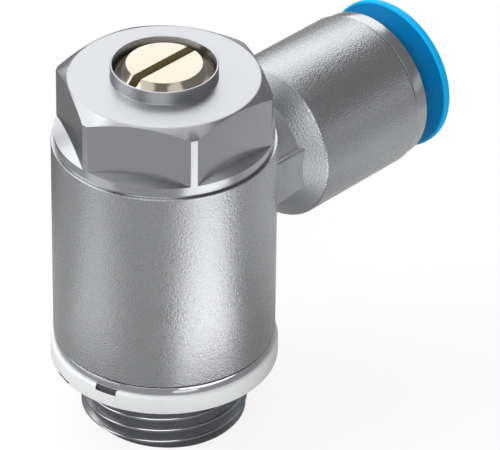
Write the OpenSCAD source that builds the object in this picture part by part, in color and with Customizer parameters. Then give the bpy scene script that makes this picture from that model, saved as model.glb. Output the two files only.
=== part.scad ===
// One-way flow control valve with a swivelling push-in tube connector.
// The origin lies on the bolt's axis, at the face of the port seal ring that meets the port.
// +Z is up, along the bolt, and the connector arm points along +X.

/* [Port thread] */
// Outside diameter of the male pipe thread
thread_d = 16.662; // [16:0.001:16.8]
// Length of the thread below the port seal ring
thread_len = 6.7; // [4:0.1:12]
// Chamfer at the thread's lower end
thread_chamfer = 0.3; // [0.2:0.05:1.2]
// Depth of the relief above the thread, where the O-ring sits
thread_relief = 0.18; // [0.1:0.01:0.3]
// Diameter of the air passage up the thread
port_bore_d = 9.5; // [8:0.1:10]

/* [Seal ring and washer] */
// How far the port seal ring stands out past the barrel, on the radius
seal_ring_proud = 0.3; // [0:0.05:1]
// Height of the port seal ring
seal_ring_h = 2; // [1.7:0.1:3]
// Section of the O-ring inside the port seal ring
port_cord_d = 1.3; // [1:0.05:1.5]
// Width of a notch in the port seal ring
notch_w = 2.3; // [1:0.1:4]
// Depth of the notches, from the ring's outside
notch_depth = 0.4; // [0.2:0.1:1.2]
// Height of a notch in the ring's top edge
notch_top_h = 0.55; // [0.2:0.05:0.8]
// Height of a notch in the ring's bottom edge
notch_bottom_h = 0.3; // [0.1:0.05:0.6]
// How far the washer's edge lies inside the barrel's, on the radius
washer_inset = 0.05; // [0:0.05:0.6]
// Thickness of the washer
washer_h = 0.87; // [0.5:0.01:2]

/* [Barrel] */
// Outside diameter of the swivel barrel
barrel_d = 22.1; // [21:0.1:25]
// Length of the swivel barrel
barrel_len = 22; // [21.5:0.1:24]
// Bore that turns on the bolt's lands
barrel_bore_d = 17; // [16.95:0.01:17.6]
// Diameter of the air gallery round the bolt
gallery_d = 18.4; // [17.8:0.1:19]
// Height of the air gallery
gallery_h = 7; // [6.2:0.1:7.4]
// Rounding of the barrel's rims
barrel_edge = 0.2; // [0.1:0.05:0.6]

/* [Connector arm] */
// Outside diameter of the arm
arm_d = 16.3; // [15.8:0.1:17]
// Height of the arm's axis above the barrel's lower face
arm_rise = 15; // [14.6:0.1:15.4]
// Distance from the bolt's axis to the edge of the arm's back face
arm_back_x = 14.8; // [14.2:0.1:15.4]
// Distance from the bolt's axis to the mouth of the arm
arm_mouth_x = 29.7; // [29:0.1:32]
// Diameter of the machined band at the mouth
arm_band_d = 15.8; // [15.2:0.1:16.2]
// Width of the machined band
arm_band_w = 1.45; // [1:0.05:2]
// Width of the groove line behind the band
arm_groove_w = 0.18; // [0.1:0.02:0.4]
// Depth of the groove line
arm_groove_depth = 0.3; // [0.1:0.05:0.4]
// Depth of the coned back face
arm_cone_h = 1.7; // [1.2:0.1:2]
// Diameter at the foot of the coned back face
arm_cone_d = 11.8; // [11:0.1:13]
// Diameter of the round neck
neck_d = 12; // [11:0.1:12.2]
// Width across the neck's side webs
web_w = 12.3; // [12.2:0.1:13]
// Thickness of the neck's side webs
web_h = 4.7; // [4:0.1:6]
// Rounding of the webs' edges
web_edge = 0.3; // [0.2:0.05:1]
// Diameter of the air channel through the neck
channel_d = 7.2; // [6:0.1:7.6]

/* [Push-in connector] */
// Outside diameter of the tube
tube_d = 10; // [9.8:0.05:10.1]
// Clearance round the tube, on the radius
tube_clear = 0.1; // [0.06:0.01:0.15]
// Distance from the bolt's axis to the tube's stop
tube_stop_x = 16; // [15.6:0.1:16.6]
// Length of the bore that steadies the tube's end
tube_pilot_len = 2.4; // [1.8:0.1:3]
// Diameter of the bore that takes the connector's stack
cartridge_d = 13.6; // [13.4:0.05:13.9]
// Length of the tube seal
tube_seal_len = 2.4; // [2:0.1:2.6]
// Length of the spacer between seal and grab ring
spacer_len = 1.2; // [1.1:0.05:1.6]
// Thickness of the grab ring's sheet
grab_t = 0.3; // [0.2:0.05:0.35]
// Thickness of a tooth at its tip
tooth_tip_t = 0.2; // [0.1:0.02:0.28]
// Number of teeth on the grab ring
grab_teeth = 12; // [8:1:14]
// Gap between two teeth
grab_slit = 0.6; // [0.4:0.05:0.9]
// Width of the grab ring's flat rim
grab_rim_w = 0.75; // [0.6:0.05:0.9]
// Reach of the teeth along the tube
tooth_reach = 0.95; // [0.7:0.05:1.1]
// Length of the cartridge sleeve
sleeve_len = 5.9; // [5:0.1:6]
// Wall of the cartridge sleeve round the release ring's bead
sleeve_wall = 0.42; // [0.34:0.02:0.5]
// Length of the chamber for the release ring's bead
bead_room = 2.3; // [2.2:0.05:2.6]

/* [Release ring] */
// Push of the release ring
release_travel = 1; // [0.6:0.05:1.1]
// Wall of the release ring's sleeve
release_wall = 0.7; // [0.5:0.05:0.74]
// Outside diameter of the release ring's rim
release_rim_d = 15.9; // [15:0.1:17]
// Distance from the arm's mouth to the front of the rim
release_reach = 3.5; // [3:0.1:4.5]
// Width of the rounded rim
release_rim_w = 0.9; // [0.6:0.05:1.2]
// Flare of the release ring's mouth
release_mouth = 0.9; // [0.5:0.05:1.2]
// Width of the bead that keeps the ring in its sleeve
bead_w = 1; // [0.7:0.05:1.2]
// Height of that bead
bead_h = 0.35; // [0.2:0.05:0.4]

/* [Bolt head] */
// Width across the head's flats
hex_af = 19; // [18.4:0.1:20]
// How far the head's turned corners lie inside the barrel's edge, on the radius
head_inset = 0.27; // [0.1:0.01:0.5]
// Height of the round band under the hexagon
flange_h = 1.1; // [0.6:0.1:2]
// Height of the hexagon
hex_h = 5.95; // [5:0.05:8]
// Diameter of the flat top face
top_face_d = 18.62; // [17:0.02:19]
// Height of the top chamfer at the corners
top_chamfer_h = 0.8; // [0.4:0.05:1.2]
// Rise of the band's coned top, from the turned corners to the middle of a flat
band_rise = 0.5; // [0.1:0.05:0.9]
// Diameter of the collar round the screw
collar_d = 10.52; // [10.4:0.02:11]
// Height of the collar
collar_h = 1.4; // [1.2:0.05:2]
// Wall of the collar at its rim
collar_wall = 0.2; // [0.15:0.01:0.24]
// Fillet at the foot of the collar
collar_fillet = 0.15; // [0.1:0.05:1]

/* [Bolt body] */
// Running clearance of the lands in the barrel, on the radius
land_clear = 0.05; // [0.02:0.01:0.08]
// Clearance of the barrel's end faces
face_clear = 0.05; // [0.02:0.01:0.1]
// Height of the lower land above the washer
lower_land_h = 3.7; // [3.4:0.1:4]
// Height of the upper land under the head
upper_land_h = 3.7; // [3.4:0.1:3.9]
// Diameter of the bolt's waist
waist_d = 12.4; // [12:0.1:13]
// Section of the barrel's O-rings
barrel_cord_d = 1.6; // [1.4:0.05:1.7]
// Number of cross holes in each row
cross_holes = 4; // [3:1:6]
// Diameter of a cross hole
cross_hole_d = 3.4; // [3:0.1:3.6]
// Height of the lower row of cross holes
lower_holes_z = 8.9; // [8.7:0.1:9.1]
// Height of the upper row of cross holes
upper_holes_z = 15.7; // [15.5:0.1:15.9]

/* [Check seal] */
// Height of the check seal's groove
check_z = 11; // [10.9:0.05:11.2]
// Length of the check seal
check_len = 2.5; // [2.2:0.05:2.6]
// Depth of the groove that holds the seal
check_groove = 0.5; // [0.3:0.05:0.6]
// Thickness of the seal's lip
check_lip_t = 0.55; // [0.4:0.05:0.7]
// Thickness of the seal's back and of its inner leg
check_back_t = 0.9; // [0.6:0.05:1.1]
// Slope of the seal's lip and of its shoulder
check_slope = 0.35; // [0.2:0.05:0.5]

/* [Throttle] */
// Height of the throttle seat's edge
seat_z = 13.5; // [13.4:0.05:13.7]
// Diameter of the throttle seat
seat_d = 5; // [4.4:0.1:5.6]
// Length of the throttle seat
seat_len = 1; // [0.6:0.1:1.2]
// Diameter of the chamber over the seat
chamber_d = 7.2; // [7:0.1:7.8]
// Height of the chamber over the seat
chamber_h = 4.4; // [4.2:0.05:4.5]

/* [Regulating screw] */
// Diameter of the screw's flat top
screw_top_d = 7.44; // [6.8:0.02:8]
// Diameter of the screw's threaded head
screw_head_d = 9.6; // [9.2:0.02:9.65]
// Height of the coned rim
screw_cone_h = 1; // [0.6:0.05:1.4]
// Rise of the screw's top above the collar when open
screw_rise = 0.1; // [0:0.05:0.5]
// Length of the threaded head under the cone
screw_head_len = 4.8; // [4.2:0.1:5]
// Width of the screwdriver slot
slot_w = 1.05; // [0.8:0.05:1.6]
// Depth of the screwdriver slot
slot_depth = 1.7; // [1:0.1:2.4]
// Diameter of the screw's stem
stem_d = 6.4; // [6.2:0.05:6.6]
// Running clearance of the stem and head, on the radius
screw_clear = 0.05; // [0.02:0.01:0.08]
// Full lift of the screw from its seat
screw_travel = 3.5; // [2.5:0.1:3.6]
// Section of the screw's O-ring
screw_cord_d = 1.4; // [1.2:0.05:1.5]
// Diameter of the needle's tip
needle_tip_d = 2.6; // [2:0.1:3]
// Length of the needle from the tip to its seating line
needle_len = 3.1; // [2.4:0.1:3.3]

/* [Hidden] */
$fn = 96;
// Overlap of cutting tools past the faces that they cut
over = 0.5;
// Clearance of a ring that is seated in its groove or on its land
seat_clear = 0.03;

// Heights up the bolt
z_washer = seal_ring_h;
z_barrel = z_washer + washer_h + face_clear;
z_barrel_top = z_barrel + barrel_len;
z_flange = z_barrel_top + face_clear;
z_hex = z_flange + flange_h;
z_top = z_hex + hex_h;
z_rim = z_top + collar_h;
z_arm = z_barrel + arm_rise;
z_lower_land = z_washer + washer_h + lower_land_h;
z_upper_land = z_flange - upper_land_h;
z_chamber = seat_z + chamber_h;
z_gallery = z_upper_land + 0.3 - gallery_h;

// Radii of the bolt
thread_r = thread_d / 2;
relief_r = thread_r - thread_relief;
barrel_r = barrel_d / 2;
seal_ring_r = barrel_r + seal_ring_proud;
washer_r = barrel_r - washer_inset;
land_r = barrel_bore_d / 2 - land_clear;
waist_r = waist_d / 2;
head_r = barrel_r - head_inset;
collar_r = collar_d / 2;
stem_bore_r = stem_d / 2 + screw_clear;
head_bore_r = screw_head_d / 2 + screw_clear;

// O-ring grooves: the cord lies on the groove's floor and clears the bore by the running fit
groove_spare = 0.2;
barrel_cord_r = land_r - barrel_cord_d / 2 - seat_clear;
barrel_groove_r = barrel_cord_r - barrel_cord_d / 2 - seat_clear;
barrel_groove_w = barrel_cord_d + groove_spare;
z_lower_cord = (z_barrel + z_lower_land) / 2;
z_upper_cord = (z_flange + z_upper_land) / 2;
port_cord_r = relief_r + seat_clear + port_cord_d / 2;
port_recess_r = port_cord_r + port_cord_d / 2 + seat_clear;

// Heights of the regulating screw, fully open as the photograph shows it
z_screw_top = z_rim + screw_rise;
z_screw_cone = z_screw_top - screw_cone_h;
z_screw_head = z_screw_cone - screw_head_len;
z_head_bore = z_screw_head - screw_travel - 0.1;
z_seating = seat_z + screw_travel;
z_needle_tip = z_seating - needle_len;
needle_seat_r = seat_d / 2 - screw_clear;
needle_slope = (needle_seat_r - needle_tip_d / 2) / needle_len;
z_stem = z_seating + (stem_d / 2 - needle_seat_r) / needle_slope;
screw_groove_w = screw_cord_d + groove_spare;
z_screw_cord = z_chamber + screw_travel + screw_groove_w / 2 + 0.3;
screw_cord_r = stem_bore_r - screw_cord_d / 2 - seat_clear;
screw_groove_r = screw_cord_r - screw_cord_d / 2 - seat_clear;

// Stations along the connector arm
tube_bore_r = tube_d / 2 + tube_clear;
tube_touch_r = tube_d / 2 + tube_clear / 2;
cartridge_r = cartridge_d / 2;
stack_r = cartridge_r - seat_clear;
x_seal = tube_stop_x + tube_pilot_len;
x_spacer = x_seal + tube_seal_len;
x_grab = x_spacer + spacer_len;
x_sleeve = x_grab + grab_t;
x_sleeve_end = x_sleeve + sleeve_len;
x_band = arm_mouth_x - arm_band_w;
x_front = arm_mouth_x + release_reach;
mouth_chamfer = 0.4;
arm_edge = 0.25;

// Release ring: its nose stops short of the teeth and its cone enters the arm's mouth
release_bore_r = tube_bore_r + 0.05;
release_r = release_bore_r + release_wall;
sleeve_bore_r = release_r + 0.08;
bead_bore_r = stack_r - sleeve_wall;
rim_r = release_rim_d / 2;
tooth_root_r = stack_r - grab_rim_w;
x_nose = x_sleeve + release_travel - 0.25;
cone_foot_r = cartridge_r - 0.62;
x_cone = x_sleeve_end + release_travel + 0.2;

// Profile revolved round the connector's axis, drawn as [radius, distance from the bolt's axis]
module along_arm() {
    translate([0, 0, z_arm]) rotate([0, 90, 0]) rotate_extrude() children();
}

// Rod along the connector's axis
module arm_rod(r, x_from, x_to) {
    translate([x_from, 0, z_arm]) rotate([0, 90, 0]) cylinder(r = r, h = x_to - x_from);
}

// Ring of round section about the bolt's axis
module cord_ring(ring_r, cord_d) {
    rotate_extrude() translate([ring_r, 0]) circle(d = cord_d, $fn = 48);
}

// Annular groove cut into a round shaft
module shaft_groove(z, w, floor_r, shaft_r) {
    translate([0, 0, z - w / 2]) difference() {
        cylinder(r = shaft_r + over, h = w);
        translate([0, 0, -over]) cylinder(r = floor_r, h = w + 2 * over);
    }
}

// Row of radial holes through a hollow shaft
module cross_row(z, turn) {
    for (i = [0 : cross_holes - 1])
        rotate([0, 0, turn + i * 360 / cross_holes])
            translate([0, 0, z]) rotate([0, 90, 0]) cylinder(d = cross_hole_d, h = waist_r + over);
}

// Head blank turned round: band, turned corners, top chamfer, and the collar with its fillet
module head_blank() {
    rotate_extrude() difference() {
        union() {
            polygon([
                [0, z_flange], [head_r, z_flange], [head_r, z_top - top_chamfer_h],
                [top_face_d / 2, z_top], [0, z_top]
            ]);
            translate([0, z_top - over]) square([collar_r, collar_h + over]);
            translate([0, z_top - over]) square([collar_r + collar_fillet, collar_fillet + over]);
        }
        translate([collar_r + collar_fillet, z_top + collar_fillet]) circle(r = collar_fillet);
    }
}

// One flat of the hexagon, cut down past the lowest edge of the band's cone
module flat_cut() {
    rotate([90, 0, 90]) linear_extrude(height = 2 * head_r, center = true)
        translate([hex_af / 2, z_hex - over]) square([head_r, hex_h + 2 * over]);
}

// Coned top of the band, which the flats run out on
module band_cone() {
    slope = band_rise / (head_r - hex_af / 2);
    foot_r = head_r + over;
    top_r = hex_af / 2 - over;
    rotate_extrude() polygon([
        [0, z_hex - 2 * over], [foot_r, z_hex - 2 * over], [foot_r, z_hex - over * slope],
        [top_r, z_hex + (head_r - top_r) * slope], [0, z_hex + (head_r - top_r) * slope]
    ]);
}

module hollow_bolt() {
    color("#c9cacc") difference() {
        union() {
            difference() {
                head_blank();
                difference() {
                    for (i = [0 : 5]) rotate([0, 0, -60 + i * 60]) flat_cut();
                    band_cone();
                }
            }
            rotate_extrude() polygon([
                [0, -thread_len], [thread_r - thread_chamfer, -thread_len],
                [thread_r, -thread_len + thread_chamfer], [thread_r, 0], [relief_r, 0],
                [relief_r, port_cord_d], [land_r, port_cord_d + 0.1], [land_r, z_lower_land],
                [waist_r, z_lower_land], [waist_r, z_upper_land],
                [land_r, z_upper_land], [land_r, z_flange + over], [0, z_flange + over]
            ]);
        }
        rotate_extrude() polygon([
            [0, -thread_len - over], [port_bore_d / 2, -thread_len - over],
            [port_bore_d / 2, seat_z - seat_len], [seat_d / 2, seat_z - seat_len],
            [seat_d / 2, seat_z], [chamber_d / 2, seat_z], [chamber_d / 2, z_chamber],
            [stem_bore_r, z_chamber], [stem_bore_r, z_head_bore], [head_bore_r, z_head_bore],
            [head_bore_r, z_top], [collar_r - collar_wall, z_top + 0.2],
            [collar_r - collar_wall, z_rim + over], [0, z_rim + over]
        ]);
        shaft_groove(z_lower_cord, barrel_groove_w, barrel_groove_r, land_r);
        shaft_groove(z_upper_cord, barrel_groove_w, barrel_groove_r, land_r);
        shaft_groove(check_z + check_len / 2, check_len + seat_clear, waist_r - check_groove, waist_r);
        cross_row(lower_holes_z, 45);
        cross_row(upper_holes_z, 0);
    }
}

// Notch in the seal ring's outside, at an angle about the bolt
module ring_notch(angle, z, h) {
    rotate([0, 0, angle]) translate([seal_ring_r - notch_depth, -notch_w / 2, z])
        cube([notch_depth + over, notch_w, h]);
}

module port_seal_ring() {
    top_notch = 14;
    bottom_notch = -17;
    color("#f2f2f2") difference() {
        rotate_extrude() polygon([
            [port_recess_r, 0], [seal_ring_r - 0.1, 0], [seal_ring_r, 0.1],
            [seal_ring_r, seal_ring_h - 0.3], [seal_ring_r - 0.3, seal_ring_h],
            [land_r + seat_clear, seal_ring_h], [land_r + seat_clear, port_cord_d + seat_clear],
            [port_recess_r, port_cord_d + seat_clear]
        ]);
        for (side = [0, 180]) {
            ring_notch(top_notch + side, seal_ring_h - notch_top_h, notch_top_h + over);
            ring_notch(bottom_notch + side, -over, notch_bottom_h + over);
        }
    }
}

module port_o_ring() {
    color("#202020") translate([0, 0, port_cord_d / 2]) cord_ring(port_cord_r, port_cord_d);
}

module retaining_washer() {
    edge = 0.15;
    color("#d5d6d8") rotate_extrude() polygon([
        [land_r + seat_clear, z_washer], [washer_r - edge, z_washer],
        [washer_r, z_washer + edge], [washer_r, z_washer + washer_h - edge],
        [washer_r - edge, z_washer + washer_h], [land_r + seat_clear, z_washer + washer_h]
    ]);
}

module barrel_o_ring_upper() {
    color("#202020") translate([0, 0, z_upper_cord]) cord_ring(barrel_cord_r, barrel_cord_d);
}

module barrel_o_ring_lower() {
    color("#202020") translate([0, 0, z_lower_cord]) cord_ring(barrel_cord_r, barrel_cord_d);
}

// Cup seal: an inner leg in the bolt's groove and an outer lip that opens downwards
module check_lip_seal() {
    inner_r = waist_r - check_groove + seat_clear;
    outer_r = barrel_bore_d / 2 - 2 * land_clear;
    leg_r = inner_r + check_back_t;
    z_low = check_z;
    z_high = check_z + check_len;
    color("#26282a") rotate_extrude() polygon([
        [inner_r, z_low], [leg_r, z_low], [leg_r, z_high - check_back_t],
        [outer_r - check_lip_t - check_slope, z_high - check_back_t],
        [outer_r - check_lip_t, z_low], [outer_r, z_low], [outer_r, z_low + check_slope],
        [outer_r - check_slope, z_high - check_slope], [outer_r - 2 * check_slope, z_high],
        [inner_r, z_high]
    ]);
}

// Outside of the barrel, with rounded rims
module barrel_shell() {
    r = barrel_r;
    e = barrel_edge;
    rotate_extrude() union() {
        translate([0, z_barrel]) square([r - e, barrel_len]);
        translate([0, z_barrel + e]) square([r, barrel_len - 2 * e]);
        for (z = [z_barrel + e, z_barrel_top - e]) translate([r - e, z]) circle(r = e, $fn = 48);
    }
}

// Outside of the arm: coned back face, body, groove line and machined band
module arm_shell() {
    r = arm_d / 2;
    band_r = arm_band_d / 2;
    along_arm() polygon([
        [0, arm_back_x - arm_cone_h], [arm_cone_d / 2, arm_back_x - arm_cone_h],
        [r - arm_edge, arm_back_x - arm_edge], [r, arm_back_x],
        [r, x_band - arm_groove_w - arm_edge], [r - arm_edge, x_band - arm_groove_w],
        [band_r - arm_groove_depth, x_band - arm_groove_w], [band_r - arm_groove_depth, x_band],
        [band_r, x_band], [band_r, arm_mouth_x - 0.15], [band_r - 0.15, arm_mouth_x],
        [0, arm_mouth_x]
    ]);
}

// Neck between the barrel and the arm: a round tube with a flat web at each side
module neck() {
    root_x = barrel_r / 2;
    length = arm_back_x - root_x;
    arm_rod(neck_d / 2, root_x, arm_back_x);
    translate([root_x, 0, z_arm]) rotate([90, 0, 90]) linear_extrude(height = length) {
        square([web_w, web_h - 2 * web_edge], center = true);
        square([web_w - 2 * web_edge, web_h], center = true);
        for (side = [-1, 1], level = [-1, 1])
            translate([side * (web_w / 2 - web_edge), level * (web_h / 2 - web_edge)])
                circle(r = web_edge, $fn = 32);
    }
}

module swivel_barrel() {
    bore_r = barrel_bore_d / 2;
    lead = 0.3;
    color("#a9abae") difference() {
        union() {
            barrel_shell();
            arm_shell();
            neck();
        }
        rotate_extrude() polygon([
            [0, z_barrel - over], [bore_r + lead, z_barrel - over], [bore_r + lead, z_barrel],
            [bore_r, z_barrel + lead], [bore_r, z_gallery - lead], [gallery_d / 2, z_gallery],
            [gallery_d / 2, z_gallery + gallery_h], [bore_r, z_gallery + gallery_h + lead],
            [bore_r, z_barrel_top - lead], [bore_r + lead, z_barrel_top],
            [bore_r + lead, z_barrel_top + over], [0, z_barrel_top + over]
        ]);
        arm_rod(channel_d / 2, 0, tube_stop_x + over);
        along_arm() polygon([
            [0, tube_stop_x], [tube_bore_r, tube_stop_x], [tube_bore_r, x_seal],
            [cartridge_r, x_seal], [cartridge_r, arm_mouth_x - mouth_chamfer],
            [cartridge_r + mouth_chamfer, arm_mouth_x],
            [cartridge_r + mouth_chamfer, arm_mouth_x + over], [0, arm_mouth_x + over]
        ]);
    }
}

// Tube seal with two lips towards the tube, drawn as they stand on a tube
module tube_seal() {
    waist = tube_touch_r + 0.45;
    middle = x_seal + tube_seal_len / 2;
    lip = 0.7;
    color("#202020") along_arm() polygon([
        [tube_touch_r, x_seal + 0.2], [tube_touch_r + 0.15, x_seal], [stack_r, x_seal],
        [stack_r, x_spacer], [tube_touch_r + 0.15, x_spacer], [tube_touch_r, x_spacer - 0.2],
        [tube_touch_r, x_spacer - lip], [waist, middle + 0.25], [waist, middle - 0.25],
        [tube_touch_r, x_seal + lip]
    ]);
}

module seal_spacer() {
    color("#3c3f43") along_arm() polygon([
        [tube_bore_r, x_spacer], [stack_r, x_spacer], [stack_r, x_grab],
        [tooth_root_r + 0.1, x_grab], [tube_bore_r, x_spacer + 0.1]
    ]);
}

// Grab ring: a flat rim and a cone of teeth that lean into the socket
module grab_ring() {
    color("#b9bcc0") difference() {
        along_arm() polygon([
            [tooth_root_r, x_grab], [stack_r, x_grab], [stack_r, x_sleeve],
            [tooth_root_r - grab_t / 6, x_sleeve], [tube_touch_r, x_sleeve - tooth_reach + tooth_tip_t / 2],
            [tube_touch_r, x_sleeve - tooth_reach - tooth_tip_t / 2]
        ]);
        for (i = [0 : grab_teeth - 1])
            translate([x_grab - tooth_reach - over, 0, z_arm]) rotate([i * 360 / grab_teeth, 0, 0])
                translate([0, -grab_slit / 2, 0]) cube([tooth_reach + 2 * over, grab_slit, tooth_root_r]);
    }
}

// Sleeve that keeps the stack in the arm, with a chamber for the release ring's bead
module cartridge_sleeve() {
    x_chamber_end = x_sleeve + bead_room;
    color("#c4c6c9") along_arm() polygon([
        [bead_bore_r, x_sleeve], [stack_r, x_sleeve], [stack_r, x_sleeve_end],
        [sleeve_bore_r + 0.2, x_sleeve_end], [sleeve_bore_r, x_sleeve_end - 0.2],
        [sleeve_bore_r, x_chamber_end], [bead_bore_r, x_chamber_end]
    ]);
}

// Release ring: guide sleeve with a bead, a cone that flares out of the arm, and a rounded rim
module release_ring() {
    rim_edge = release_rim_w / 2;
    bead_r = min(release_r + bead_h, bead_bore_r - 0.1);
    x_bead = x_nose + 0.4;
    color("#0a7fc4") along_arm() difference() {
        union() {
            polygon([
                [release_bore_r, x_nose], [release_r - 0.35, x_nose], [release_r, x_nose + 0.2],
                [release_r, x_bead], [bead_r, x_bead + 0.1], [bead_r, x_bead + bead_w - 0.1],
                [release_r, x_bead + bead_w], [release_r, x_cone - 0.3], [cone_foot_r, x_cone],
                [rim_r - 0.2, x_front - release_rim_w], [rim_r - rim_edge, x_front],
                [release_bore_r, x_front]
            ]);
            translate([rim_r - rim_edge, x_front - rim_edge]) circle(r = rim_edge, $fn = 48);
        }
        polygon([
            [release_bore_r - over, x_front - release_mouth - over],
            [release_bore_r, x_front - release_mouth],
            [release_bore_r + release_mouth, x_front], [release_bore_r + release_mouth, x_front + over],
            [release_bore_r - over, x_front + over]
        ]);
    }
}

module screw_o_ring() {
    color("#202020") translate([0, 0, z_screw_cord]) cord_ring(screw_cord_r, screw_cord_d);
}

module regulating_screw() {
    head_r_top = screw_top_d / 2;
    head_r = screw_head_d / 2;
    stem_r = stem_d / 2;
    color("#e8d3a2") difference() {
        rotate_extrude() polygon([
            [0, z_needle_tip], [needle_tip_d / 2, z_needle_tip], [needle_seat_r, z_seating],
            [stem_r, z_stem], [stem_r, z_screw_head], [head_r - 0.3, z_screw_head],
            [head_r, z_screw_head + 0.3], [head_r, z_screw_cone], [head_r_top, z_screw_top],
            [0, z_screw_top]
        ]);
        shaft_groove(z_screw_cord, screw_groove_w, screw_groove_r, stem_r);
        translate([-head_r - over, -slot_w / 2, z_screw_top - slot_depth])
            cube([screw_head_d + 2 * over, slot_w, slot_depth + over]);
    }
}

hollow_bolt();
port_seal_ring();
port_o_ring();
retaining_washer();
barrel_o_ring_upper();
barrel_o_ring_lower();
check_lip_seal();
swivel_barrel();
tube_seal();
seal_spacer();
grab_ring();
cartridge_sleeve();
release_ring();
screw_o_ring();
regulating_screw();
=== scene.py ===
"""Looks of a one-way flow control valve with a swivelling push-in connector.

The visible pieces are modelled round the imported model, in metres and in the same frame:
the origin lies on the bolt's axis at the face of the port seal ring, +Z is up along the
bolt, and the connector arm points along +X. Sizes in the classes are in millimetres.
"""

import logging
import math
from dataclasses import dataclass
from enum import Enum
from typing import Callable, Iterable, Sequence

import bmesh
import bpy
from mathutils import Matrix, Vector


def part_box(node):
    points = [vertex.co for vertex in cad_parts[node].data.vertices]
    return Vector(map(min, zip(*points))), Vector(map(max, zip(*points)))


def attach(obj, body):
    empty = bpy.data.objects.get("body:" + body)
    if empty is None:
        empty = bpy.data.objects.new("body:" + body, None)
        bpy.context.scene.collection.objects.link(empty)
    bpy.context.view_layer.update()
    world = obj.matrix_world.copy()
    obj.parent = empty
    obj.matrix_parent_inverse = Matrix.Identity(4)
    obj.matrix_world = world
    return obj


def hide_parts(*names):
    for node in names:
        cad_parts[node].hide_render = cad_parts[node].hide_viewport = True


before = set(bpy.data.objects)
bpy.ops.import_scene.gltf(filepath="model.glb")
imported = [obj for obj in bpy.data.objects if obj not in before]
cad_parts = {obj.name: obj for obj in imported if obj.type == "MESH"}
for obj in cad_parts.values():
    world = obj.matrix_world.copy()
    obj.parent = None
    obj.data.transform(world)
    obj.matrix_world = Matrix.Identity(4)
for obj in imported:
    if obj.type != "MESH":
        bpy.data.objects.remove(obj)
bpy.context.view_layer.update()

MM = 0.001
LOG = logging.getLogger("valve")

Corner = tuple[float, float, float]
Point = tuple[float, float]


# Shaping tools


class Turn(Enum):
    """Axis that a turned piece is revolved about."""

    BOLT = "bolt"
    ARM = "arm"


@dataclass(frozen=True)
class Layout:
    """Places that several pieces share, in millimetres."""

    arm_z: float = 17.92
    floor_z: float = -6.7
    lit_x: float = 5.0
    lit_z: float = 14.0
    steps: int = 192


LAYOUT = Layout()


def rounded(corners: Sequence[Corner], segments: int = 4) -> list[Point]:
    """Rounds the corners of a closed profile.

    Args:
        corners: Radius, height and rounding of each corner, in order.
        segments: Segments of each rounding.

    Returns:
        The points of the closed profile.
    """
    points: list[Point] = []
    count = len(corners)
    for i, (x, y, radius) in enumerate(corners):
        here = Vector((x, y))
        before = Vector(corners[i - 1][:2]) - here
        after = Vector(corners[(i + 1) % count][:2]) - here
        if radius <= 0:
            points.append((x, y))
            continue
        half = before.angle(after) / 2
        reach = radius / math.tan(half)
        centre = here + (before.normalized() + after.normalized()).normalized() * (
            radius / math.sin(half)
        )
        start = here + before.normalized() * reach - centre
        end = here + after.normalized() * reach - centre
        first = math.atan2(start.y, start.x)
        sweep = (math.atan2(end.y, end.x) - first + math.pi) % math.tau - math.pi
        for step in range(segments + 1):
            angle = first + sweep * step / segments
            points.append(
                (centre.x + radius * math.cos(angle), centre.y + radius * math.sin(angle))
            )
    return points


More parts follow.
